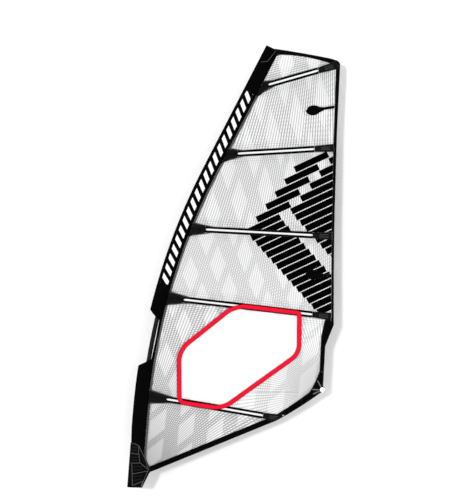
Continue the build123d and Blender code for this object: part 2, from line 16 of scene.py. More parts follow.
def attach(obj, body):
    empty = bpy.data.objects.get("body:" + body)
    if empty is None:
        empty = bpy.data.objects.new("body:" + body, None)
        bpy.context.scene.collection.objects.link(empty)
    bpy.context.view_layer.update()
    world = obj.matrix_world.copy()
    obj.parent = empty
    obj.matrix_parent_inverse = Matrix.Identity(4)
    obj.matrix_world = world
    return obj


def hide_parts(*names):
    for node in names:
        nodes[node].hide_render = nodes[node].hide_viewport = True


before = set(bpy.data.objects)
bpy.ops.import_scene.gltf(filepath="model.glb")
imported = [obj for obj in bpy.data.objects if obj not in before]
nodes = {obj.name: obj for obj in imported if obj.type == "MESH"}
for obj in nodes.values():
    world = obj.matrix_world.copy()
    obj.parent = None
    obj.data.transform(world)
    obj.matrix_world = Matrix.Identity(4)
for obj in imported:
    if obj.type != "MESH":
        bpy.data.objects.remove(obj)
scene = bpy.context.scene
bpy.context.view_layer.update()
BATTEN_NUMBERS = range(1, 6)
FRONT, BACK = -1, 1

# %% [markdown]
# The luff is a straight line, a long arc and a second straight line, because that is how a mast bends. Every
# place on the sail can be told as a length along that curve and a distance behind it, which is how a sailmaker
# marks out a luff. The belly of the sail grows from the seam and is deepest just forward of half chord.

# %% Luff curve and belly of the sail
LOW_LEAN, TOP_LEAN = radians(4.4), radians(27.3)
LUFF_STRAIGHT, LUFF_RADIUS = 0.590, 5.780
SEAM_BEHIND_MAST = 0.047
CAMBER, CAMBER_LOSS, BOOM_HEIGHT = 0.080, 0.0045, 1.400
CAMBER_CHORD, FULLNESS_A, FULLNESS_B = 1.560, 1.3, 0.6
FLAT_FOOT, FULL_BELLY = 0.090, 0.900
ARC_X = LUFF_STRAIGHT * sin(LOW_LEAN) + LUFF_RADIUS * cos(LOW_LEAN)
ARC_Z = LUFF_STRAIGHT * cos(LOW_LEAN) - LUFF_RADIUS * sin(LOW_LEAN)


def luff_place(x, z):
    """Length along the mast's axis and distance behind it, for a place on the sail."""
    along, behind = x * sin(LOW_LEAN) + z * cos(LOW_LEAN), x * cos(LOW_LEAN) - z * sin(LOW_LEAN)
    if along <= LUFF_STRAIGHT:
        return along, behind
    lean = atan2(z - ARC_Z, ARC_X - x)
    if lean <= TOP_LEAN:
        return LUFF_STRAIGHT + LUFF_RADIUS * (lean - LOW_LEAN), LUFF_RADIUS - hypot(z - ARC_Z, ARC_X - x)
    from_x = x - ARC_X + LUFF_RADIUS * cos(TOP_LEAN)
    from_z = z - ARC_Z - LUFF_RADIUS * sin(TOP_LEAN)
    along = LUFF_STRAIGHT + LUFF_RADIUS * (TOP_LEAN - LOW_LEAN)
    along += from_x * sin(TOP_LEAN) + from_z * cos(TOP_LEAN)
    return along, from_x * cos(TOP_LEAN) - from_z * sin(TOP_LEAN)


def luff_point(along, behind=0.0):
    """The place (x, z) at a length along the mast's axis, that far behind it."""
    lean = min(max(LOW_LEAN + (along - LUFF_STRAIGHT) / LUFF_RADIUS, LOW_LEAN), TOP_LEAN)
    short = min(along, LUFF_STRAIGHT)
    past = max(along - LUFF_STRAIGHT - LUFF_RADIUS * (TOP_LEAN - LOW_LEAN), 0.0)
    x = short * sin(LOW_LEAN) + LUFF_RADIUS * (cos(LOW_LEAN) - cos(lean)) + past * sin(TOP_LEAN)
    z = short * cos(LOW_LEAN) + LUFF_RADIUS * (sin(lean) - sin(LOW_LEAN)) + past * cos(TOP_LEAN)
    return x + behind * cos(lean), z - behind * sin(lean)


def seam_x(z):
    """x of the sleeve's rear seam at a height."""
    low, high = -0.4, 5.0
    for _ in range(24):
        middle = (low + high) / 2
        low, high = (middle, high) if luff_point(middle, SEAM_BEHIND_MAST)[1] < z else (low, middle)
    return luff_point(low, SEAM_BEHIND_MAST)[0]


def fabric_y(x, z):
    """How far the cloth bellies towards +Y."""
    q = (x - seam_x(z)) / CAMBER_CHORD
    deep = CAMBER - CAMBER_LOSS * max(z - BOOM_HEIGHT, 0.0) ** 2
    rise = min(max((z - FLAT_FOOT) / (FULL_BELLY - FLAT_FOOT), 0.0), 1.0)
    return deep * 4 * q * (1 - q) * (FULLNESS_A - FULLNESS_B * q) * rise * rise * (3 - 2 * rise)


print("the belly is", round(1000 * fabric_y(seam_x(1.4) + 0.7, 1.4)), "mm deep at the boom")

# %% [markdown]
# The soft CAD solids have the right outlines but no cloth in them. A new sheet starts from the outline that its
# CAD node shows to one side, pressed flat. It is then cut into a fine grid and lifted onto the belly, so that it
# bends smoothly everywhere. An outset lets a panel run on under the tape that is sewn over its edge.


# %% Outlines of the CAD nodes, pressed flat
FRONT_FACING = -0.6  # a face whose normal has less y than this is seen from the front
GRID_SHIFT = 0.37  # keeps the cuts of a grid off the round numbers, where outlines have their corners


def flat_outline(node, outset=0.0):
    """A flat bmesh of what a CAD node shows to the front, with its outline let out or taken in."""
    bm = bmesh.new()
    bm.from_mesh(nodes[node].data)
    bmesh.ops.remove_doubles(bm, verts=bm.verts, dist=1e-5)
    bm.normal_update()
    hidden = [f for f in bm.faces if f.normal.y > FRONT_FACING]
    bmesh.ops.delete(bm, geom=hidden, context="FACES")
    bmesh.ops.scale(bm, vec=(1, 0, 1), verts=bm.verts)
    bmesh.ops.remove_doubles(bm, verts=bm.verts, dist=1e-4)
    bmesh.ops.dissolve_limit(bm, angle_limit=0.01, verts=bm.verts, edges=bm.edges)
    if outset:
        rim(bm, outset, outwards=True)
    return bm


# %% Rims, grids and the lift onto the belly
def rim(bm, width, outwards=False, keep=None):
    """Adds a rim of that width. keep="rim" or keep="rest" then leaves only that part."""
    bm.normal_update()
    made = bmesh.ops.inset_region(
        bm, faces=bm.faces[:], thickness=width, use_boundary=True, use_even_offset=True, use_outset=outwards
    )["faces"]
    if keep:
        gone = made if keep == "rest" else [f for f in bm.faces if f not in set(made)]
        bmesh.ops.delete(bm, geom=gone, context="FACES")


def cut_grid(bm, pitch):
    """Cuts every face along an even grid in x and z."""
    for axis in (0, 2):
        values = [v.co[axis] for v in bm.verts]
        first, last = int(min(values) / pitch) - 1, int(max(values) / pitch) + 1
        for step in range(first, last + 1):
            place, normal = Vector((0, 0, 0)), Vector((0, 0, 0))
            place[axis], normal[axis] = (step + GRID_SHIFT) * pitch, 1.0
            everything = bm.verts[:] + bm.edges[:] + bm.faces[:]
            bmesh.ops.bisect_plane(bm, geom=everything, plane_co=place, plane_no=normal)


def lift(bm, height=None, side=FRONT):
    """Lays a flat mesh on the belly, standing proud of it by height(x, z) towards one side."""
    for v in bm.verts:
        proud = height(v.co.x, v.co.z) if height else 0.0
        v.co.y = fabric_y(v.co.x, v.co.z) + side * proud


def face_side(bm, side):
    """Turns the faces so that they look towards one side."""
    bm.normal_update()
    wrong = [f for f in bm.faces if f.normal.y * side < 0]
    bmesh.ops.reverse_faces(bm, faces=wrong)


STRIP_SHARE = 0.35  # a sheet that fills less of its box than this counts as a long strip


def flat_size(bm):
    """Width, length and area of the cut sheet. A long strip counts by its own length, not by its box."""
    area = sum(f.calc_area() for f in bm.faces)
    width, length = (max(v.co[k] for v in bm.verts) - min(v.co[k] for v in bm.verts) for k in (0, 2))
    if area < STRIP_SHARE * width * length:
        half_round = sum(e.calc_length() for e in bm.edges if e.is_boundary) / 2
        spread = sqrt(max(half_round * half_round - 4 * area, 0.0))
        width, length = (half_round - spread) / 2, (half_round + spread) / 2
    return width, length, area


trial = flat_outline("film_lower")
print("the lower film panel's flat outline has", len(trial.verts), "corners and", round(flat_size(trial)[2], 3), "m2")
trial.free()

# %% [markdown]
# A bmesh becomes a piece through one function, so that each piece gets a UV map, a material, a body to ride on
# and smooth shading in the same way. The UV map is the sailmaker's own measure: metres along the luff and
# metres behind it. Thin cloth gets its thickness from a Solidify modifier, which is quick to change.


# %% From a bmesh to a piece
def make_piece(name, bm, material, body="rig", stands_for=(), lay=luff_place):
    """A finished mesh object on a body, with metres in its UV map."""
    layer = bm.loops.layers.uv.new("lay")
    for face in bm.faces:
        for loop in face.loops:
            loop[layer].uv = lay(loop.vert.co.x, loop.vert.co.z)
    mesh = bpy.data.meshes.new(name)
    bm.to_mesh(mesh)
    bm.free()
    mesh.materials.append(material)
    mesh.shade_smooth()
    piece = bpy.data.objects.new(name, mesh)
    scene.collection.objects.link(piece)
    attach(piece, body)
    if stands_for:
        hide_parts(*stands_for)
    return piece


def thicken(piece, thickness, offset=0.0):
    """Gives a sheet its thickness, about its middle or to one side."""
    modifier = piece.modifiers.new("thickness", "SOLIDIFY")
    modifier.thickness = thickness
    modifier.offset = offset
    return piece


def make_sheet(name, bm, material, thickness, pitch, stands_for=(), height=None):
    """A stretched sheet of cloth or film on the belly, from its flat outline."""
    width, length, area = flat_size(bm)
    cut_grid(bm, pitch)
    lift(bm, height)
    face_side(bm, FRONT)
    piece = thicken(make_piece(name, bm, material, stands_for=stands_for), thickness)
    print(name, "cut", round(width, 3), "by", round(length, 3), "m,", round(area, 4), "square metres")
    return piece


# %% [markdown]
# A sail's finishes share four effects: the weave of polyester cloth, straight threads and fans of threads laid in
# film, and a slow change of tone from handling. Each could be drawn again in every material, but a node group with
# named inputs is built once and placed with other values. The groups read the piece's own UV map or Object
# coordinates in metres, so a thread is as wide on a small patch as on a big panel.


# %% Node helpers
def wire(tree, source, target):
    tree.links.new(source, target)


def sum_node(tree, operation, first, second=None, third=None):
    """A Math node fed with sockets or plain numbers. Returns its output."""
    node = tree.nodes.new("ShaderNodeMath")
    node.operation = operation
    for slot_number, value in enumerate((first, second, third)):
        if value is None:
            continue
        if isinstance(value, (int, float)):
            node.inputs[slot_number].default_value = value
        else:
            wire(tree, value, node.inputs[slot_number])
    return node.outputs[0]


def new_group(name, inputs, outputs):
    """An empty node group with float inputs and outputs. Returns its tree, input node and output node."""
    tree = bpy.data.node_groups.new(name, "ShaderNodeTree")
    for label, value in inputs:
        socket = tree.interface.new_socket(name=label, in_out="INPUT", socket_type="NodeSocketFloat")
        socket.default_value = value
    for label in outputs:
        tree.interface.new_socket(name=label, in_out="OUTPUT", socket_type="NodeSocketFloat")
    return tree, tree.nodes.new("NodeGroupInput"), tree.nodes.new("NodeGroupOutput")


def place_sockets(tree, source):
    """The two measures across a piece: u and v of its UV map, or x and z of Object coordinates."""
    coordinates = tree.nodes.new("ShaderNodeTexCoord")
    split = tree.nodes.new("ShaderNodeSeparateXYZ")
    wire(tree, coordinates.outputs[source], split.inputs[0])
    return split.outputs[0], split.outputs[1 if source == "UV" else 2]


def soft_line(tree, distance, half_width, blur=0.35):
    """1 on a line, 0 away from it, from the distance to its middle."""
    ratio = sum_node(tree, "DIVIDE", distance, half_width)
    step = tree.nodes.new("ShaderNodeMapRange")
    step.interpolation_type = "SMOOTHSTEP"
    step.inputs["From Min"].default_value = 1 + blur
    step.inputs["From Max"].default_value = 1 - blur
    wire(tree, ratio, step.inputs["Value"])
    return step.outputs[0]


def repeat_distance(tree, measure, pitch):
    """Distance to the middle of the nearest line, for lines a pitch apart."""
    whole = sum_node(tree, "DIVIDE", measure, pitch)
    part = sum_node(tree, "SUBTRACT", sum_node(tree, "FRACT", whole), 0.5)
    return sum_node(tree, "MULTIPLY", sum_node(tree, "ABSOLUTE", part), pitch)


# %% Node groups for weave, threads and handling
def build_plain_weave():
    """Over and under of a plain weave. Height drives bump, Tone darkens the gaps."""
    tree, given, result = new_group("plain_weave", [("Pitch", 0.0012)], ["Height", "Tone"])
    u, v = place_sockets(tree, "UV")
    turns = sum_node(tree, "DIVIDE", 2 * pi, given.outputs["Pitch"])
    wave_u = sum_node(tree, "SINE", sum_node(tree, "MULTIPLY", u, turns))
    wave_v = sum_node(tree, "SINE", sum_node(tree, "MULTIPLY", v, turns))
    both = sum_node(tree, "MULTIPLY", wave_u, wave_v)
    wire(tree, both, result.inputs["Height"])
    wire(tree, sum_node(tree, "MULTIPLY_ADD", both, 0.08, 0.92), result.inputs["Tone"])
    return tree


def build_straight_threads():
    """Straight threads at one angle, a spacing apart."""
    inputs = [("Angle", 0.0), ("Spacing", 0.02), ("Half Width", 0.002)]
    tree, given, result = new_group("straight_threads", inputs, ["Mask"])
    x, z = place_sockets(tree, "Object")
    turn = sum_node(tree, "RADIANS", given.outputs["Angle"])
    across = sum_node(
        tree,
        "SUBTRACT",
        sum_node(tree, "MULTIPLY", x, sum_node(tree, "SINE", turn)),
        sum_node(tree, "MULTIPLY", z, sum_node(tree, "COSINE", turn)),
    )
    distance = repeat_distance(tree, across, given.outputs["Spacing"])
    wire(tree, soft_line(tree, distance, given.outputs["Half Width"]), result.inputs["Mask"])
    return tree


# %% Node groups for fans of threads and handling
def build_ray_threads():
    """Threads that run out from one corner of the sail, a step of angle apart."""
    inputs = [("Corner X", 0.0), ("Corner Z", 0.0), ("Step", 0.01), ("Half Width", 0.002)]
    tree, given, result = new_group("ray_threads", inputs, ["Mask"])
    x, z = place_sockets(tree, "Object")
    dx = sum_node(tree, "SUBTRACT", x, given.outputs["Corner X"])
    dz = sum_node(tree, "SUBTRACT", z, given.outputs["Corner Z"])
    angle = sum_node(tree, "ARCTAN2", dz, dx)
    reach = sum_node(
        tree, "SQRT", sum_node(tree, "MULTIPLY_ADD", dx, dx, sum_node(tree, "MULTIPLY", dz, dz))
    )
    distance = sum_node(tree, "MULTIPLY", repeat_distance(tree, angle, given.outputs["Step"]), reach)
    wire(tree, soft_line(tree, distance, given.outputs["Half Width"]), result.inputs["Mask"])
    return tree


def build_handling():
    """A slow, uneven change of tone, as from folding and salt."""
    tree, given, result = new_group("handling", [("Scale", 6.0), ("Amount", 0.1)], ["Tone"])
    coordinates = tree.nodes.new("ShaderNodeTexCoord")
    noise = tree.nodes.new("ShaderNodeTexNoise")
    noise.inputs["Detail"].default_value = 5.0
    wire(tree, coordinates.outputs["Object"], noise.inputs["Vector"])
    wire(tree, given.outputs["Scale"], noise.inputs["Scale"])
    centred = sum_node(tree, "SUBTRACT", noise.outputs["Fac"], 0.5)
    wire(tree, sum_node(tree, "MULTIPLY_ADD", centred, given.outputs["Amount"], 1.0), result.inputs["Tone"])
    return tree


GROUPS = {
    "weave": build_plain_weave(),
    "threads": build_straight_threads(),
    "rays": build_ray_threads(),
    "handling": build_handling(),
}
print("node groups:", ", ".join(t.name for t in GROUPS.values()))


# %% Starting a material
def start_material(name, roughness, specular=0.5, metallic=0.0, coat=0.0):
    """A material with a Principled shader. Its constant values are set on the shader's own sockets."""
    material = bpy.data.materials.new(name)
    material.use_nodes = True
    shader = material.node_tree.nodes["Principled BSDF"]
    shader.inputs["Roughness"].default_value = roughness
    shader.inputs["Specular IOR Level"].default_value = specular
    shader.inputs["Metallic"].default_value = metallic
    shader.inputs["Coat Weight"].default_value = coat
    return material, material.node_tree, shader


def use_group(tree, key, **values):
    node = tree.nodes.new("ShaderNodeGroup")
    node.node_tree = GROUPS[key]
    for label, value in values.items():
        node.inputs[label.replace("_", " ")].default_value = value
    return node


def blend_colour(tree, mask, first, second):
    """first where the mask is 0 and second where it is 1. Each is a colour or a socket."""
    mix = tree.nodes.new("ShaderNodeMix")
    mix.data_type = "RGBA"
    wire(tree, mask, mix.inputs["Factor"])
    for label, value in (("A", first), ("B", second)):
        socket = next(s for s in mix.inputs if s.name == label and s.type == "RGBA")
        if isinstance(value, tuple):
            socket.default_value = (*value, 1)
        else:
            wire(tree, value, socket)
    return next(s for s in mix.outputs if s.type == "RGBA")


def tint(tree, colour, tone):
    """A colour made lighter or darker by a tone socket."""
    scale = tree.nodes.new("ShaderNodeVectorMath")
    scale.operation = "SCALE"
    if isinstance(colour, tuple):
        scale.inputs[0].default_value = colour
    else:
        wire(tree, colour, scale.inputs[0])
    wire(tree, tone, scale.inputs["Scale"])
    return scale.outputs[0]


def add_bump(tree, shader, height, distance, strength=1.0):
    bump = tree.nodes.new("ShaderNodeBump")
    bump.inputs["Distance"].default_value = distance
    bump.inputs["Strength"].default_value = strength
    wire(tree, height, bump.inputs["Height"])
    wire(tree, bump.outputs[0], shader.inputs["Normal"])


# %% [markdown]
# Sail cloth is woven polyester with a coating that fills the weave. The black cloth is so dark that almost all
# that is seen of it is a dull sheen, so its base colour is near zero and its specular level is low. The same
# recipe in other colours gives the grey seam tape, the red border and the patches.


# %% Cloth materials
def cloth_material(name, colour, pitch=0.0012, roughness=0.75, specular=0.2, uneven=0.15, bump=0.00015):
    material, tree, shader = start_material(name, roughness, specular)
    weave = use_group(tree, "weave", Pitch=pitch)
    handling = use_group(tree, "handling", Scale=7.0, Amount=uneven * 4)
    tone = sum_node(tree, "MULTIPLY", weave.outputs["Tone"], handling.outputs["Tone"])
    wire(tree, tint(tree, colour, tone), shader.inputs["Base Color"])
    add_bump(tree, shader, weave.outputs["Height"], bump)
    return material


trim_black = cloth_material("black_trim_cloth", (0.0024, 0.0024, 0.0026), specular=0.0)
tape_grey = cloth_material("grey_seam_tape", (0.085, 0.085, 0.09))
border_red = cloth_material("red_border_tape", (0.92, 0.0075, 0.031), roughness=0.6, specular=0.02, uneven=0.05)
fold_red = cloth_material("folded_red_tape", (0.20, 0.003, 0.010), roughness=0.7, specular=0.0)
patch_dark = cloth_material("dark_patch_cloth", (0.0062, 0.0058, 0.0056), pitch=0.002, specular=0.04)
binding_grey = cloth_material("patch_binding", (0.06, 0.06, 0.062))
pocket_pale = cloth_material("pale_pocket_cloth", (0.88, 0.88, 0.88), roughness=0.42, specular=0.5, uneven=0.04)
webbing_grey = cloth_material("grey_webbing", (0.16, 0.16, 0.17), pitch=0.003, bump=0.0004)
thread_grey = cloth_material("grey_thread", (0.11, 0.11, 0.115), pitch=0.0006)
thread_red = cloth_material("dark_red_thread", (0.30, 0.004, 0.012), pitch=0.0006)
print("cloth and thread materials:", len(bpy.data.materials))

# %% [markdown]
# The sleeve carries a band of white print. Real sails put words there. Here it is only a ladder of plain slanted
# bars. They are drawn from the sleeve's UV map, so that they follow the bend of the luff. The print is a mask
# between two colours, which keeps its edges sharp.

# %% Print on the luff sleeve
PRINT_FROM, PRINT_TO = 1.80, 3.68
PRINT_STEP, PRINT_FILLED, PRINT_SLANT = 0.090, 0.52, 0.9
PRINT_FRONT, PRINT_REAR = -0.050, 0.017


def between(tree, value, low, high):
    """1 where a value lies between two limits."""
    above = sum_node(tree, "GREATER_THAN", value, low)
    return sum_node(tree, "MULTIPLY", above, sum_node(tree, "LESS_THAN", value, high))


def sleeve_material():
    material, tree, shader = start_material("printed_sleeve_cloth", 0.78, 0.0)
    weave = use_group(tree, "weave", Pitch=0.0014)
    handling = use_group(tree, "handling", Scale=5.0, Amount=0.5)
    along, behind = place_sockets(tree, "UV")
    slanted = sum_node(tree, "MULTIPLY_ADD", behind, PRINT_SLANT, along)
    part = sum_node(tree, "FRACT", sum_node(tree, "DIVIDE", slanted, PRINT_STEP))
    printed = sum_node(tree, "LESS_THAN", part, PRINT_FILLED)
    printed = sum_node(tree, "MULTIPLY", printed, between(tree, behind, PRINT_FRONT, PRINT_REAR))
    printed = sum_node(tree, "MULTIPLY", printed, between(tree, along, PRINT_FROM, PRINT_TO))
    tone = sum_node(tree, "MULTIPLY", weave.outputs["Tone"], handling.outputs["Tone"])
    black = tint(tree, (0.0022, 0.0022, 0.0024), tone)
    white = tint(tree, (0.90, 0.90, 0.90), weave.outputs["Tone"])
    wire(tree, blend_colour(tree, printed, black, white), shader.inputs["Base Color"])
    add_bump(tree, shader, weave.outputs["Height"], 0.00015)
    return material


sleeve_cloth = sleeve_material()
print("the print runs from", PRINT_FROM, "to", PRINT_TO, "m along the mast")

# %% [markdown]
# The body of a wave sail is clear film with threads laid between its layers. One family of threads fans out
# from a corner of the sail, or from a point above its head. A second family crosses it on the slant, and a third
# runs beside each batten. Where the second family stops, the film is lighter, in long diamonds. Each panel has
# its own mix of the three. The panels beside the leech also carry a print of plain slanted bars.

# %% Thread film materials
FILM_LIGHT, THREAD_DARK, PRINT_BLACK = (0.93, 0.93, 0.935), (0.17, 0.17, 0.175), (0.0008, 0.0008, 0.0008)
FILM_SOLID, THREAD_SOLID = 0.75, 0.95  # how opaque bare film and a thread in it are
ABOVE_HEAD, CLEW_CORNER, TACK_CORNER = (1.74, 5.52), (1.70, 0.80), (-0.15, -0.10)
BATTEN_LINES = {  # a place on each batten (x, z), and its slope in degrees
    1: (1.18, 3.57, 16.2),
    2: (0.91, 2.95, 3.5),
    3: (0.62, 2.27, -3.1),
    4: (0.42, 1.63, -6.6),
    5: (0.27, 0.74, -9.6),
}
BESIDE_BATTEN, BESIDE_PITCH, BESIDE_HALF, BESIDE_STRENGTH = 0.095, 0.0205, 0.0032, 0.6
FACET_PITCH, FACET_SHARE, IN_FACET = 0.19, 0.70, 0.74


def rotated(tree, x, z, degrees):
    """Two measures turned through an angle: along it, and square to it."""
    c, d = cos(radians(degrees)), sin(radians(degrees))
    along = sum_node(tree, "ADD", sum_node(tree, "MULTIPLY", x, c), sum_node(tree, "MULTIPLY", z, d))
    across = sum_node(tree, "SUBTRACT", sum_node(tree, "MULTIPLY", z, c), sum_node(tree, "MULTIPLY", x, d))
    return along, across


def batten_threads(tree, x, z, number):
    """Threads parallel to a batten, in a band on each side of it."""
    at_x, at_z, slope = BATTEN_LINES[number]
    _, across = rotated(tree, sum_node(tree, "SUBTRACT", x, at_x), sum_node(tree, "SUBTRACT", z, at_z), slope)
    line = soft_line(tree, repeat_distance(tree, across, BESIDE_PITCH), BESIDE_HALF, 0.6)
    near = soft_line(tree, sum_node(tree, "ABSOLUTE", across), BESIDE_BATTEN, 0.25)
    return sum_node(tree, "MULTIPLY", line, near)


def facets(tree, x, z, angles, pitch, share):
    """Long triangles where wide bands at several angles overlap, with soft edges."""
    result = None
    for number, angle in enumerate(angles):
        _, across = rotated(tree, x, z, angle)
        middle = repeat_distance(tree, across, pitch * (1 + 0.37 * number))
        band = soft_line(tree, middle, pitch * share / 2, 0.12)
        result = band if result is None else sum_node(tree, "MULTIPLY", result, band)
    return result


# %% Print beside the leech
BAR_ANGLE, BAR_PITCH, BAR_FILLED = 25.0, 0.066, 0.88
PRINT_LOW, PRINT_HIGH, PRINT_NOSE = 0.66, 1.98, 1.58
NOSE_ALONG, TOP_SLOPE, LOW_SLOPE, CELL = 1.84, 1.9, 0.30, 0.110


def leech_print(tree, x, z):
    """Rows of black bars that start in a blunt arrow, with every fifth cell left open."""
    along, up = rotated(tree, x, z, BAR_ANGLE)
    rows = sum_node(tree, "DIVIDE", up, BAR_PITCH)
    row_up = sum_node(tree, "MULTIPLY", sum_node(tree, "FLOOR", rows), BAR_PITCH)
    above = sum_node(tree, "MULTIPLY", sum_node(tree, "SUBTRACT", row_up, PRINT_NOSE), TOP_SLOPE)
    below = sum_node(tree, "MULTIPLY", sum_node(tree, "SUBTRACT", PRINT_NOSE, row_up), LOW_SLOPE)
    start = sum_node(tree, "ADD", sum_node(tree, "MAXIMUM", above, below), NOSE_ALONG)
    cells = sum_node(tree, "FLOOR", sum_node(tree, "DIVIDE", sum_node(tree, "SUBTRACT", along, start), CELL))
    open_cell = sum_node(tree, "COMPARE", sum_node(tree, "MODULO", cells, 5.0), 3.0, 0.1)
    ink = sum_node(tree, "LESS_THAN", sum_node(tree, "FRACT", rows), BAR_FILLED)
    ink = sum_node(tree, "MULTIPLY", ink, sum_node(tree, "GREATER_THAN", along, start))
    ink = sum_node(tree, "MULTIPLY", ink, sum_node(tree, "SUBTRACT", 1.0, open_cell))
    return sum_node(tree, "MULTIPLY", ink, between(tree, up, PRINT_LOW, PRINT_HIGH))


# %% One film material for each panel
def film_material(name, fan, crossing, battens, facet_angles, printed=False):
    """Film with a fan of threads, a crossing family, threads beside its battens, and lighter facets."""
    material, tree, shader = start_material(name, 0.38, 0.0 if printed else 0.04)
    x, z = place_sockets(tree, "Object")
    clear_tone = use_group(tree, "handling", Scale=2.2, Amount=0.16)
    colour = tint(tree, FILM_LIGHT, clear_tone.outputs["Tone"])
    (corner_x, corner_z), step, half, strength = fan
    rays = use_group(tree, "rays", Corner_X=corner_x, Corner_Z=corner_z, Step=step, Half_Width=half)
    total = sum_node(tree, "MULTIPLY", rays.outputs["Mask"], strength)
    angle, spacing, half, strength = crossing
    slanted = use_group(tree, "threads", Angle=angle, Spacing=spacing, Half_Width=half)
    kept = sum_node(tree, "SUBTRACT", 1.0, facets(tree, x, z, facet_angles, FACET_PITCH, FACET_SHARE))
    slanted = sum_node(tree, "MULTIPLY", sum_node(tree, "MULTIPLY", slanted.outputs["Mask"], strength), kept)
    total = sum_node(tree, "MAXIMUM", total, slanted)
    for number in battens:
        beside = sum_node(tree, "MULTIPLY", batten_threads(tree, x, z, number), BESIDE_STRENGTH)
        total = sum_node(tree, "MAXIMUM", total, beside)
    facet_tone = sum_node(tree, "MULTIPLY_ADD", kept, 1 - IN_FACET, IN_FACET)
    total = sum_node(tree, "MULTIPLY", total, facet_tone)
    colour = blend_colour(tree, total, colour, THREAD_DARK)
    solid = sum_node(tree, "MULTIPLY_ADD", total, THREAD_SOLID - FILM_SOLID, FILM_SOLID)
    if printed:
        ink = leech_print(tree, x, z)
        colour = blend_colour(tree, ink, colour, PRINT_BLACK)
        solid = sum_node(tree, "MAXIMUM", solid, ink)
    wire(tree, colour, shader.inputs["Base Color"])
    wire(tree, solid, shader.inputs["Alpha"])
    add_bump(tree, shader, total, 0.0002)
    return material


film_finishes = {
    # panel: fan (corner, angle step, half width, strength), crossing (angle, spacing, half width, strength),
    # the battens beside it, and the two directions of its light diamonds
    "film_head": ((ABOVE_HEAD, 0.0130, 0.0040, 0.55), (14.0, 0.0190, 0.0036, 0.80), (1,), (58.0, 104.0)),
    "film_upper": ((ABOVE_HEAD, 0.0096, 0.0042, 0.80), (-62.0, 0.0210, 0.0034, 0.40), (1, 2), (80.0, 110.0)),
    "film_middle": ((ABOVE_HEAD, 0.0066, 0.0042, 0.72), (-50.0, 0.0205, 0.0036, 0.45), (2, 3), (72.0, 109.0)),
    "film_lower": ((ABOVE_HEAD, 0.0052, 0.0042, 0.62), (-52.0, 0.0200, 0.0036, 0.50), (3, 4), (67.0, 113.0)),
    "film_luff": ((TACK_CORNER, 0.0155, 0.0044, 0.80), (8.0, 0.0195, 0.0038, 0.65), (4, 5), (62.0, 112.0)),
    "film_clew": ((CLEW_CORNER, 0.0420, 0.0042, 0.62), (80.0, 0.0200, 0.0034, 0.42), (4,), (40.0, 84.0)),
    "film_foot": ((TACK_CORNER, 0.0200, 0.0046, 0.85), (-14.0, 0.0195, 0.0038, 0.70), (5,), (38.0, 84.0)),
}

# %% [markdown]
# Seven film panels make the body of the sail. Each runs 4 mm on under its tapes, as a sewn panel does, and puffs
# out a little between its battens, because film that is held only at its edges never lies quite flat.

# %% Film panels
FILM_THICK, FILM_PITCH, UNDER_TAPE = 0.0006, 0.030, 0.004
PUFF, PUFF_WAVES = 0.0005, 3.1


def film_puff(x, z):
    """Soft pillows in the film, half a millimetre deep, so that they stay under the tapes."""
    return PUFF * sin(PUFF_WAVES * 2 * pi * x) * cos(PUFF_WAVES * 1.6 * pi * z + 1.3 * x)


for panel, families in film_finishes.items():
    finish = film_material(panel + "_laminate", *families, printed=panel in ("film_middle", "film_lower"))
    outline = flat_outline(panel, outset=UNDER_TAPE)
    make_sheet(panel + "_panel", outline, finish, FILM_THICK, FILM_PITCH, [panel], film_puff)

# %% [markdown]
# A batten pocket is a sleeve of pale cloth over a rod, sewn down along both sides with black tape. The rod makes
# a half-round ridge that catches the light, and that is all that shows of the batten. One function lays any
# ridge, tape or bead: a grid stretched between two points, lifted by a profile across it.


# %% Ridges and tapes on a surface
def lay_strip(bm, start, end, widths, surface, profile, side, across=8, pitch=0.03, fade=0.0):
    """Adds a strip from start to end, both (x, z), that stands proud of a surface by a profile across it."""
    start, end = Vector(start), Vector(end)
    length = (end - start).length
    ahead = (end - start) / length
    left = Vector((-ahead.y, ahead.x))
    pieces = max(2, ceil(length / pitch))
    grid = bmesh.ops.create_grid(bm, x_segments=pieces, y_segments=across, size=0.5)["verts"]
    for v in grid:
        share, t = v.co.x + 0.5, v.co.y
        width = widths[0] + (widths[1] - widths[0]) * share
        place = start + ahead * length * share + left * width * t
        end_distance = min(share, 1 - share) * length
        proud = profile(2 * t) * (min(end_distance / fade, 1.0) if fade else 1.0)
        v.co = (place.x, surface(place.x, place.y) + side * proud, place.y)
    faces = list({f for v in grid for f in v.link_faces})
    bm.normal_update()
    if sum(f.normal.y for f in faces) * side < 0:
        bmesh.ops.reverse_faces(bm, faces=faces)


EDGE_DIP = 0.0005  # the edges of a strip dip this far into what it lies on


def flat_profile(height):
    """A flat tape."""
    return lambda t: height if abs(t) < 0.99 else -EDGE_DIP


def round_profile(height):
    """A half-round ridge."""
    return lambda t: height * sqrt(max(1 - t * t, 0.0)) if abs(t) < 0.99 else -EDGE_DIP


def end_points(node):
    """The middle of each end of a straight, narrow node, as (x, z), forward end first."""
    bm = flat_outline(node)
    sides = sorted((e for e in bm.edges if e.is_boundary), key=lambda e: e.calc_length())
    ahead = sides[-1].verts[1].co - sides[-1].verts[0].co
    ahead = Vector((ahead.x, ahead.z)).normalized() * (1 if ahead.x > 0 else -1)
    left = Vector((-ahead.y, ahead.x))
    corners = [Vector((v.co.x, v.co.z)) for v in bm.verts]
    bm.free()
    runs, offs = [p.dot(ahead) for p in corners], [p.dot(left) for p in corners]
    middle = left * (min(offs) + max(offs)) / 2
    return middle + ahead * min(runs), middle + ahead * max(runs)


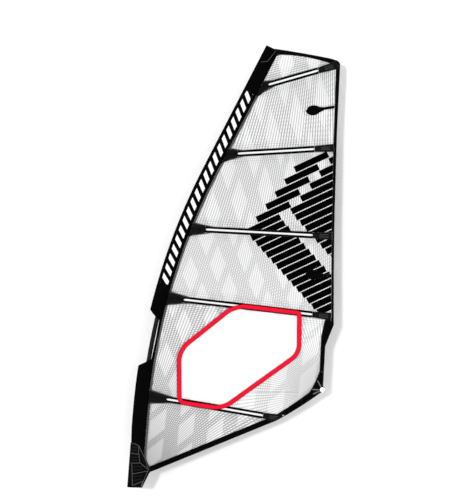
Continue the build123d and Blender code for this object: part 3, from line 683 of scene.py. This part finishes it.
# %% Batten pockets
POCKET_WIDE, POCKET_TAPE_HIGH = 0.058, 0.0014
RIDGE_WIDE, RIDGE_HIGH = 0.0185, 0.0088
RIDGE_SLACK = 0.003  # cloth that passes over a ridge stands off its foot by this
pocket_lines = {}
for number in BATTEN_NUMBERS:
    node = f"batten_pocket_{number}"
    fore, aft = end_points(node)
    pocket_lines[number] = (fore, aft)
    ridges, tapes = bmesh.new(), bmesh.new()
    for side in (FRONT, BACK):
        wide, ridge = (POCKET_WIDE, POCKET_WIDE), (RIDGE_WIDE, RIDGE_WIDE)
        lay_strip(tapes, fore, aft, wide, fabric_y, flat_profile(POCKET_TAPE_HIGH), side, across=10)
        lay_strip(ridges, fore, aft, ridge, fabric_y, round_profile(RIDGE_HIGH), side, across=14, fade=0.006)
    make_piece(f"pocket_ridge_{number}", ridges, pocket_pale, stands_for=[node])
    make_piece(f"pocket_tape_{number}", tapes, trim_black, stands_for=[node])
    print(node, "is", round((aft - fore).length, 3), "m long")


def pocket_height(x, z):
    """How far the pockets stand proud of the cloth at a place, so that the border can pass over them."""
    high = 0.0
    for fore, aft in pocket_lines.values():
        ahead = (aft - fore).normalized()
        from_fore = Vector((x, z)) - fore
        off = abs(from_fore.x * ahead.y - from_fore.y * ahead.x)
        if 0 < from_fore.dot(ahead) < (aft - fore).length and off < POCKET_WIDE / 2:
            share = min(max(off - RIDGE_SLACK, 0.0) / (RIDGE_WIDE / 2), 1.0)
            high = max(high, POCKET_TAPE_HIGH, RIDGE_HIGH * sqrt(1 - share * share))
    return high


# %% [markdown]
# The window is clear film inside a border of bright red tape. The tape is sewn on last, over the pockets, so
# their ridges show through it as raised lines. Its outline starts as six corners, and bevel rounds each corner
# by its own reach. Along both edges the tape is folded under, which shows as a thin darker line.

# %% Window and red border
BORDER_WIDE, BORDER_THICK, BORDER_PROUD = 0.041, 0.0012, 0.0014
FOLD_WIDE, BORDER_PITCH = 0.0045, 0.0065
BORDER_CORNERS = (  # x, z, and how far the rounding reaches along the sides
    (0.880, 1.604, 0.112),
    (0.356, 1.187, 0.110),
    (0.360, 0.692, 0.062),
    (0.774, 0.628, 0.100),
    (1.480, 1.136, 0.090),
    (1.482, 1.531, 0.034),
)


def border_outline():
    """The border's outer outline as one flat face with rounded corners."""
    bm = bmesh.new()
    ring = [bm.verts.new((x, 0, z)) for x, z, _ in BORDER_CORNERS]
    bm.faces.new(ring)
    for corner, (_, _, reach) in zip(ring, BORDER_CORNERS):
        bmesh.ops.bevel(
            bm,
            geom=[corner],
            offset=reach,
            offset_type="OFFSET",
            segments=8,
            profile=0.5,
            affect="VERTICES",
            material=-1,
        )
    bmesh.ops.recalc_face_normals(bm, faces=bm.faces)
    return bm


# %% Window film, painted white
def window_material():
    material, tree, shader = start_material("window_film_painted_white", 0.04, 0.5)
    handling = use_group(tree, "handling", Scale=9.0, Amount=0.06)
    wire(tree, tint(tree, (0.97, 0.975, 0.98), handling.outputs["Tone"]), shader.inputs["Base Color"])
    # The film is drawn white and 62 % opaque. This is painted light: it stands in for the bright wall seen through
    # clear film, so the sail's shadow on the wall shows only faintly through the window.
    shader.inputs["Alpha"].default_value = 0.62
    return material


painted_white_window = window_material()

WINDOW_THICK, WINDOW_PITCH = 0.0008, 0.03
pane = flat_outline("window", UNDER_TAPE)
make_sheet("window_pane", pane, painted_white_window, WINDOW_THICK, WINDOW_PITCH, stands_for=["window"])


# %% Red border over the pockets
def over_pockets(x, z):
    return BORDER_PROUD + pocket_height(x, z)


def over_border(x, z):
    return over_pockets(x, z) + 0.0006


for side, where in ((FRONT, "front"), (BACK, "back")):
    band = border_outline()
    rim(band, BORDER_WIDE, keep="rim")
    width, length, area = flat_size(band)
    cut_grid(band, BORDER_PITCH)
    lift(band, over_pockets, side)
    face_side(band, FRONT)
    band_piece = make_piece("red_border_" + where, band, border_red, stands_for=["window_border"])
    thicken(band_piece, BORDER_THICK / 2)
    edges = bmesh.new()
    for start in (0.0, BORDER_WIDE - FOLD_WIDE):
        fold = border_outline()
        if start:
            rim(fold, start, keep="rest")
        rim(fold, FOLD_WIDE, keep="rim")
        cut_grid(fold, BORDER_PITCH)
        lift(fold, over_border, side)
        face_side(fold, side)
        fold_mesh = bpy.data.meshes.new("fold")
        fold.to_mesh(fold_mesh)
        fold.free()
        edges.from_mesh(fold_mesh)
        bpy.data.meshes.remove(fold_mesh)
    make_piece("red_border_folds_" + where, edges, fold_red, stands_for=["window_border"])
print("the border band is", round(length, 2), "m long before it is bent round")

# %% [markdown]
# Every edge of the sail is bound. Black cloth is folded over the leech, the head and the foot, and small stiff
# battens stand out of the leech between the main ones. The clew gets many layers, because the whole pull of the
# sail leaves through it. All of these are sheets a little thicker than the film.

# %% Edge trims and patches
for node, finish, slot, thick in (
    ("head_trim", trim_black, "trim_cloth", 0.0016),
    ("leech_trim", trim_black, "trim_cloth", 0.0016),
    ("foot_trim", trim_black, "trim_cloth", 0.0016),
    ("leech_mini_battens", trim_black, "trim_cloth", 0.0020),
    ("clew_patch", trim_black, "trim_cloth", 0.0030),
    ("luff_seam_tape", tape_grey, "seam_tape", 0.0018),
):
    make_sheet(node + "_cloth", flat_outline(node), finish, thick, 0.025, [node])


# %% [markdown]
# Some soft nodes are not flat: the patches over the batten noses swell up to the thickness of the sleeve, and
# webbing wraps round the clew ring. For these the new skin takes its height from the CAD surface itself. A ray
# from the front finds the surface, which is how a depth gauge would measure it.

# %% Skins that follow a CAD surface
ABOVE_SKIN, RIM_REACH = 0.012, 0.020


def surface_of(node, side, to_rim=False):
    """A function (x, z) -> y of what a CAD node shows to one side. Beside the node it gives None, or its rim."""
    bm = bmesh.new()
    bm.from_mesh(nodes[node].data)
    tree = BVHTree.FromBMesh(bm)
    bm.free()

    def height(x, z):
        hit = tree.ray_cast(Vector((x, side, z)), Vector((0, -side, 0)))[0]
        if hit is None and to_rim:
            hit = tree.find_nearest(Vector((x, fabric_y(x, z) + side * ABOVE_SKIN, z)), RIM_REACH)[0]
        return hit.y if hit else None

    return height


def lift_to(bm, height, side, proud):
    """Lays a flat mesh on a surface. A vertex beside it stays just above the sail."""
    for v in bm.verts:
        y = height(v.co.x, v.co.z)
        v.co.y = (fabric_y(v.co.x, v.co.z) if y is None else y) + side * proud


def follow_skin(name, node, finish, pitch, proud=0.0004, outline=None, side=FRONT, body="rig"):
    """A thin skin over one side of a CAD node."""
    bm = outline or flat_outline(node)
    cut_grid(bm, pitch)
    lift_to(bm, surface_of(node, side, to_rim=True), side, proud)
    face_side(bm, side)
    return make_piece(name, bm, finish, body, stands_for=[node])


# %% Patches over the batten noses
PATCH_AT_END, PATCH_HIDDEN, PATCH_INSIDE = 0.056, 0.164, 0.060
BINDING_WIDE, BINDING_RUN_ON, BINDING_HIGH, PATCH_TAPER = 0.013, 0.065, 0.0012, 0.2
for side, where in ((FRONT, "front"), (BACK, "back")):
    follow_skin("nose_patches_" + where, "luff_batten_patches", patch_dark, 0.012, side=side)
for number, (fore, aft) in pocket_lines.items():
    ahead = (aft - fore).normalized()
    left = Vector((-ahead.y, ahead.x))
    to_seam = 0.0
    while luff_place(*(fore - ahead * to_seam))[1] > SEAM_BEHIND_MAST + 0.002:
        to_seam += 0.001
    bindings = bmesh.new()
    for side in (FRONT, BACK):
        skin = surface_of("luff_batten_patches", side)

        def on_patch(x, z, skin=skin, side=side):
            y = skin(x, z)
            return fabric_y(x, z) + side * POCKET_TAPE_HIGH if y is None else y

        for turn in (-1, 1):
            wide = PATCH_AT_END + (PATCH_HIDDEN - PATCH_AT_END) * to_seam / (to_seam + PATCH_INSIDE)
            slant = to_seam + turn * PATCH_TAPER * wide / 2
            start = fore - ahead * slant + left * turn * (wide / 2 - BINDING_WIDE * 0.7)
            end = fore + ahead * BINDING_RUN_ON + left * turn * (POCKET_WIDE / 2 - BINDING_WIDE / 3)
            widths, profile = (BINDING_WIDE, 0.6 * BINDING_WIDE), flat_profile(BINDING_HIGH)
            lay_strip(bindings, start, end, widths, on_patch, profile, side, across=4, pitch=0.01)
    patches = ["luff_batten_patches"]
    make_piece(f"nose_patch_binding_{number}", bindings, binding_grey, stands_for=patches)

print("five patches on each side have grey bindings", BINDING_WIDE, "m wide")

# %% Webbing at the clew and the tack
WEBBING_THICK = 0.0014
for node in ("clew_webbing", "tack_webbing"):
    for side, where in ((FRONT, "front"), (BACK, "back")):
        strap = follow_skin(f"{node}_{where}", node, webbing_grey, 0.006, proud=0.0003, side=side)
        thicken(strap, WEBBING_THICK, offset=-1.0)
print("webbing is", WEBBING_THICK, "m thick")

# %% [markdown]
# The sleeve is a long tube of strong cloth round the mast. Its CAD shell is already hollow, with an
# outside and an inside, so the cloth piece keeps that shell and only cuts it finer. It then gets shallow
# creases that run slantwise, deeper near the boom opening, where the cloth ends and nothing holds it out.

# %% Luff sleeve
CREASE, CREASE_EVERY, FINE_CREASE_EVERY = 0.0012, 0.17, 0.071
OPENING_AT, OPENING_REACH = 1.29, 0.30
WIDEST_BEHIND, WIDEST_REACH = -0.02, 0.05  # the creases fade out towards the sleeve's front and its seam
for node in ("luff_sleeve_lower", "luff_sleeve_upper"):
    bm = bmesh.new()
    bm.from_mesh(nodes[node].data)
    bmesh.ops.remove_doubles(bm, verts=bm.verts, dist=1e-5)
    cut_grid(bm, 0.045)
    for v in bm.verts:
        along, behind = luff_place(v.co.x, v.co.z)
        near = exp(-(((along - OPENING_AT) / OPENING_REACH) ** 2))
        wave = sin(2 * pi * (along / CREASE_EVERY + 7 * behind))
        wave += 0.6 * sin(2 * pi * (along / FINE_CREASE_EVERY - 5 * behind))
        side = FRONT if v.co.y < fabric_y(v.co.x, v.co.z) else BACK
        hold = exp(-(((behind - WIDEST_BEHIND) / WIDEST_REACH) ** 2))
        v.co.y += side * CREASE * (0.4 + near) * wave * hold
    layer_area = sum(f.calc_area() for f in bm.faces) / 2
    lengths = [luff_place(v.co.x, v.co.z)[0] for v in bm.verts]
    sleeve = make_piece(node + "_cloth", bm, sleeve_cloth, stands_for=[node])


# %% [markdown]
# A sail is held together by zigzag stitches, which stretch with the cloth where a straight stitch would break.
# Each stitch here is a short bar of thread. A line of them follows any list of places on the sail, so the same
# function sews the pockets, the border and the trims.

# %% Stitches
STITCH_LONG, STITCH_THICK, STITCH_SLANT = 0.0062, 0.0011, radians(38)


def outline_loops(bm):
    """The outlines of a flat mesh, each as a closed list of places (x, z)."""
    left = dict.fromkeys(e for e in bm.edges if e.is_boundary)
    loops = []
    while left:
        edge, _ = left.popitem()
        chain = [edge.verts[0], edge.verts[1]]
        following = next((e for e in chain[-1].link_edges if e in left), None)
        while following:
            del left[following]
            chain.append(following.other_vert(chain[-1]))
            following = next((e for e in chain[-1].link_edges if e in left), None)
        loops.append([Vector((v.co.x, v.co.z)) for v in chain])
    return loops


def sew(bm, places, height, side, pitch=0.0105):
    """Lays zigzag stitches along a line of places (x, z), on the sail's surface plus height(x, z)."""
    rest, slant = pitch / 2, STITCH_SLANT
    for first, second in zip(places, places[1:]):
        run = (second - first).length
        while rest < run:
            place = first + (second - first) * (rest / run)
            turn = atan2(second.y - first.y, second.x - first.x) + slant
            y = fabric_y(place.x, place.y) + side * height(place.x, place.y)
            size = Matrix.Diagonal((STITCH_LONG, STITCH_THICK / 2, STITCH_THICK, 1))
            spot = Matrix.Translation((place.x, y, place.y)) @ Matrix.Rotation(-turn, 4, "Y")
            bmesh.ops.create_cube(bm, size=1, matrix=spot @ size)
            rest += pitch
            slant = -slant
        rest -= run


# %% Stitch lines along the edges
def sew_edges(name, node, inset, thread, height, outline=None):
    """Stitches along every outline of a node, a little way in from its edge."""
    flat = outline or flat_outline(node)
    rim(flat, inset, keep="rest")
    stitches = bmesh.new()
    for loop in outline_loops(flat):
        for side in (FRONT, BACK):
            sew(stitches, loop, height, side)
    flat.free()
    make_piece(name, stitches, thread)


def level(height):
    return lambda x, z: height


# %% Sewing the trims, the border and the pockets
STITCH_IN, STITCH_IN_PATCH, POCKET_STITCH_OFF = 0.004, 0.006, 0.0255
for node, inset, proud in (
    ("leech_trim", STITCH_IN, 0.0009),
    ("head_trim", STITCH_IN, 0.0009),
    ("foot_trim", STITCH_IN, 0.0009),
    ("clew_patch", STITCH_IN_PATCH, 0.0016),
):
    sew_edges(node + "_stitches", node, inset, thread_grey, level(proud))
for inset, label in ((STITCH_IN, "outer"), (BORDER_WIDE - STITCH_IN, "inner")):
    sew_edges(
        f"border_{label}_stitches",
        "window_border",
        inset,
        thread_red,
        lambda x, z: over_pockets(x, z) + 0.0004,
        outline=border_outline(),
    )
for number, (fore, aft) in pocket_lines.items():
    stitches = bmesh.new()
    left = Vector((fore.y - aft.y, aft.x - fore.x)).normalized()
    for off in (-POCKET_STITCH_OFF, POCKET_STITCH_OFF):
        for side in (FRONT, BACK):
            sew(stitches, [fore + left * off, aft + left * off], level(POCKET_TAPE_HIGH + 0.0002), side)
    print("pocket", number, "is sewn with", len(stitches.faces) // 6, "stitches")
    make_piece(f"pocket_{number}_stitches", stitches, thread_grey)

# %% [markdown]
# The hard parts keep their CAD shape and only need a finish. The mast is carbon fibre wound on a slant and
# sanded, the caps and clips are black moulded nylon with a fine spark-eroded grain, and the ring, frame and
# screws are stainless steel. The tack fairing is a soft rubber boot.


# %% Materials of the hard parts
def moulded_material(name, colour, roughness, grain=900.0, depth=0.00012, specular=0.4):
    material, tree, shader = start_material(name, roughness, specular)
    handling = use_group(tree, "handling", Scale=14.0, Amount=0.35)
    grains = use_group(tree, "handling", Scale=grain, Amount=1.0)
    wire(tree, tint(tree, colour, handling.outputs["Tone"]), shader.inputs["Base Color"])
    add_bump(tree, shader, grains.outputs["Tone"], depth)
    return material


def metal_material(name, colour, roughness):
    material, tree, shader = start_material(name, roughness, metallic=1.0)
    scratches = use_group(tree, "handling", Scale=160.0, Amount=0.5)
    wire(tree, tint(tree, colour, scratches.outputs["Tone"]), shader.inputs["Base Color"])
    add_bump(tree, shader, scratches.outputs["Tone"], 0.00004)
    return material


def carbon_material():
    material, tree, shader = start_material("wound_carbon", 0.55, 0.06)
    first = use_group(tree, "threads", Angle=35.0, Spacing=0.005, Half_Width=0.0016)
    second = use_group(tree, "threads", Angle=-55.0, Spacing=0.005, Half_Width=0.0016)
    weave = sum_node(tree, "MAXIMUM", first.outputs["Mask"], second.outputs["Mask"])
    colour = blend_colour(tree, weave, (0.0035, 0.0035, 0.0038), (0.0085, 0.0085, 0.009))
    wire(tree, colour, shader.inputs["Base Color"])
    add_bump(tree, shader, weave, 0.0001)
    return material


carbon = carbon_material()
black_nylon = moulded_material("black_nylon", (0.008, 0.008, 0.008), 0.5, specular=0.2)
rib_nylon = moulded_material("rib_nylon", (0.055, 0.055, 0.055), 0.45, specular=0.2)
clip_nylon = moulded_material("clip_nylon", (0.0036, 0.0036, 0.0035), 0.6, specular=0.04)
fitting_nylon = moulded_material("grey_nylon", (0.10, 0.10, 0.105), 0.45)
rubber = moulded_material("tack_rubber", (0.0028, 0.0028, 0.003), 0.75, grain=500.0, specular=0.02)
roller_nylon = moulded_material("roller_nylon", (0.035, 0.035, 0.036), 0.35)
rod_pale = moulded_material("pale_rod", (0.72, 0.73, 0.70), 0.3, grain=60.0)
steel = metal_material("stainless_steel", (0.62, 0.62, 0.61), 0.24)
dark_steel = metal_material("worn_steel", (0.36, 0.36, 0.36), 0.38)
piping_grey = cloth_material("grey_piping", (0.095, 0.095, 0.098), pitch=0.002, specular=0.05)
guard_rubber = moulded_material("guard_rib_rubber", (0.022, 0.022, 0.022), 0.6, specular=0.05)


def dress(finish, *names):
    for name in names:
        for slot in nodes[name].material_slots:
            slot.material = finish


dress(carbon, "mast_bottom_section", "mast_top_section", "mast_ferrule")
dress(black_nylon, "head_cap")
dress(clip_nylon, "tensioner_housings")
dress(rubber, "tack_fairing", "tack_flap")
dress(steel, "clew_eyelet", "tack_axle", "tack_pulley_frame")
dress(roller_nylon, "tack_roller_1", "tack_roller_2", "tack_roller_3")
for number in BATTEN_NUMBERS:
    dress(rod_pale, f"batten_{number}")
    dress(fitting_nylon, f"batten_{number}_end_fittings")
    dress(dark_steel, f"tension_screw_{number}")
print("materials in all:", len(bpy.data.materials))

# %% [markdown]
# The tensioner housings clip over the leech at the end of each pocket. Their moulding has ribs along it, which
# stiffen the thin wall and give a wet thumb some grip. Each rib is a narrow ridge laid on the CAD surface.

# %% Ribs on the tensioner housings
def on_node(node, side):
    """A function (x, z) -> y of one side of a CAD node, or of the sail beside it."""
    skin = surface_of(node, side)

    def height(x, z):
        y = skin(x, z)
        return fabric_y(x, z) if y is None else y

    return height


HOUSING_LONG, HOUSING_GAP = 0.172, 0.002
RIB_START, RIB_STOP, RIB_SPREAD, HOUSING_RIB_HIGH = 0.060, 0.030, 1.3, 0.0016
RIBS = ((-0.011, 0.0042), (-0.002, 0.0030), (0.009, 0.0042))  # off the centreline, and how wide
for number, (fore, aft) in pocket_lines.items():
    ahead = (aft - fore).normalized()
    left = Vector((-ahead.y, ahead.x))
    ribs = bmesh.new()
    for side in (FRONT, BACK):
        on_housing = on_node("tensioner_housings", side)
        for off, wide in RIBS:
            start = aft + ahead * (HOUSING_GAP + RIB_START) + left * off
            end = aft + ahead * (HOUSING_LONG - RIB_STOP) + left * off * RIB_SPREAD
            profile = round_profile(HOUSING_RIB_HIGH)
            lay_strip(ribs, start, end, (wide, wide), on_housing, profile, side, across=6, pitch=0.02, fade=0.01)
    make_piece(f"housing_ribs_{number}", ribs, rib_nylon)
print("each housing has", len(RIBS), "ribs to a side")

# %% [markdown]
# Piping is a thin cord inside a fold of cloth. It stiffens an edge and shows as a raised grey line. On the tack
# guard it follows the panels of the moulding, with finer ribs between. It is laid like the ribs above, from
# place to place on the CAD surface. On the front it rides on the flap, so that it swings open with it.

# %% Piping on the tack guard and the head
PIPING_WIDE, PIPING_HIGH = 0.0056, 0.0018
RIB_WIDE, RIB_HIGH = 0.0040, 0.0010


def lay_chain(bm, places, surface, side, wide, high):
    """A cord from place to place, each (x, z)."""
    for start, end in zip(places, places[1:]):
        lay_strip(bm, start, end, (wide, wide), surface, round_profile(high), side, across=6, pitch=0.012)


GUARD_PIPING = (  # each place is a length along the mast's axis and a distance behind it
    ((0.338, -0.074), (0.335, -0.036), (0.322, -0.008), (0.255, -0.003), (0.170, 0.013), (0.110, 0.100)),
    ((0.322, -0.008), (0.214, 0.055), (0.113, 0.097)),
    ((0.248, -0.074), (0.246, -0.005)),
    ((0.160, -0.072), (0.168, 0.011)),
    ((0.154, -0.058), (-0.044, -0.037)),
    ((0.064, -0.045), (0.103, 0.096)),
    ((0.098, 0.090), (0.006, 0.058), (-0.040, 0.046)),
    ((-0.036, -0.030), (0.007, 0.052), (-0.040, 0.041)),
)
GUARD_RIBS = (
    ((0.305, -0.070), (0.305, -0.016)),
    ((0.278, -0.070), (0.278, -0.014)),
    ((0.216, -0.068), (0.216, -0.008)),
    ((0.190, -0.066), (0.190, -0.004)),
    ((0.128, -0.040), (0.140, 0.040)),
    ((0.100, -0.040), (0.114, 0.044)),
    ((0.040, -0.034), (0.058, 0.046)),
    ((0.008, -0.034), (0.026, 0.042)),
)
for node, body, side in (("tack_flap", "tack_flap", FRONT), ("tack_fairing", "rig", BACK)):
    for label, chains, wide, high in (
        ("piping", GUARD_PIPING, PIPING_WIDE, PIPING_HIGH),
        ("ribs", GUARD_RIBS, RIB_WIDE, RIB_HIGH),
    ):
        cords = bmesh.new()
        for chain in chains:
            places = [Vector(luff_point(*place)) for place in chain]
            lay_chain(cords, places, on_node(node, side), side, wide, high)
        finish = piping_grey if label == "piping" else guard_rubber
        make_piece(f"{node}_{label}", cords, finish, body)

HEAD_PIPING, HEAD_CORD = ((1.2525, 3.8770), (1.1745, 3.7780), (1.1150, 3.7720)), (0.0050, 0.0010)
for side, where in ((FRONT, "front"), (BACK, "back")):
    cords = bmesh.new()
    lay_chain(cords, [Vector(p) for p in HEAD_PIPING], on_node("luff_sleeve_upper", side), side, *HEAD_CORD)
    make_piece("head_piping_" + where, cords, tape_grey)
print("the tack guard has", len(GUARD_PIPING), "lines of piping and", len(GUARD_RIBS), "ribs to a side")

# %% [markdown]
# The stage is a pale floor and a pale wall 0.3 m behind the sail, lit by a soft sun from the upper left and by an
# even sky. The wall is see-through from behind, so that the back of the sail can be looked at.

# %% Stage
WALL_BEHIND, FLOOR_DOWN, STAGE_SIZE = 0.30, -0.30, 30.0


def stage_material(name, colour, one_sided):
    material, tree, shader = start_material(name, 0.9, 0.0)
    handling = use_group(tree, "handling", Scale=0.6, Amount=0.01)
    wire(tree, tint(tree, colour, handling.outputs["Tone"]), shader.inputs["Base Color"])
    if one_sided:
        geometry = tree.nodes.new("ShaderNodeNewGeometry")
        front = sum_node(tree, "SUBTRACT", 1.0, geometry.outputs["Backfacing"])
        wire(tree, front, shader.inputs["Alpha"])
    return material


def stage_plane(name, colour, centre, normal, one_sided=False):
    bm = bmesh.new()
    turn = Vector((0, 0, 1)).rotation_difference(Vector(normal)).to_matrix().to_4x4()
    matrix = Matrix.Translation(centre) @ turn
    bmesh.ops.create_grid(bm, x_segments=2, y_segments=2, size=STAGE_SIZE / 2, matrix=matrix)
    mesh = bpy.data.meshes.new(name)
    bm.to_mesh(mesh)
    bm.free()
    mesh.materials.append(stage_material(name + "_paint", colour, one_sided))
    plane = bpy.data.objects.new(name, mesh)
    scene.collection.objects.link(plane)
    return plane


stage_plane("studio_floor", (0.90, 0.90, 0.90), (0, 0, FLOOR_DOWN), (0, 0, 1))
stage_plane("studio_wall", (0.96, 0.96, 0.96), (0, WALL_BEHIND, FLOOR_DOWN + STAGE_SIZE / 2), (0, -1, 0), True)

print("the wall stands", WALL_BEHIND, "m behind the mast")

# %% Light
SKY_STRENGTH, SUN_STRENGTH, SUN_ANGLE, SUN_AHEAD = 0.94, 1.15, radians(6), (0.30, 1.0, -0.12)
world = bpy.data.worlds.new("even_sky")
world.use_nodes = True
sky = world.node_tree.nodes["Background"]
sky.inputs["Color"].default_value = (1, 1, 1, 1)
sky.inputs["Strength"].default_value = SKY_STRENGTH
scene.world = world
scene.view_settings.view_transform = "Standard"

sun_data = bpy.data.lights.new("soft_sun", "SUN")
sun_data.energy, sun_data.angle = SUN_STRENGTH, SUN_ANGLE
sun = bpy.data.objects.new("soft_sun", sun_data)
scene.collection.objects.link(sun)
sun.rotation_mode = "QUATERNION"
sun.rotation_quaternion = Vector(SUN_AHEAD).to_track_quat("-Z", "Y")
print("the sun's strength is", SUN_STRENGTH, "and the sky's", SKY_STRENGTH)

# %% [markdown]
# A flat picture of a sail is taken from far off with a long lens, so that the near edge isn't drawn larger than the
# far one. The camera stands square to the sail at half its height and looks level.

# %% Camera
CAMERA_AWAY = 25.0
camera_data = bpy.data.cameras.new("camera")
camera_data.lens, camera_data.sensor_width, camera_data.clip_end = 200.0, 36.0, 200.0
camera = bpy.data.objects.new("camera", camera_data)
scene.collection.objects.link(camera)
camera.location = (0.8909, -CAMERA_AWAY, 2.0815)
camera.rotation_euler = (pi / 2, 0, 0)
scene.camera = camera
print("the camera stands", CAMERA_AWAY, "m in front of the sail")
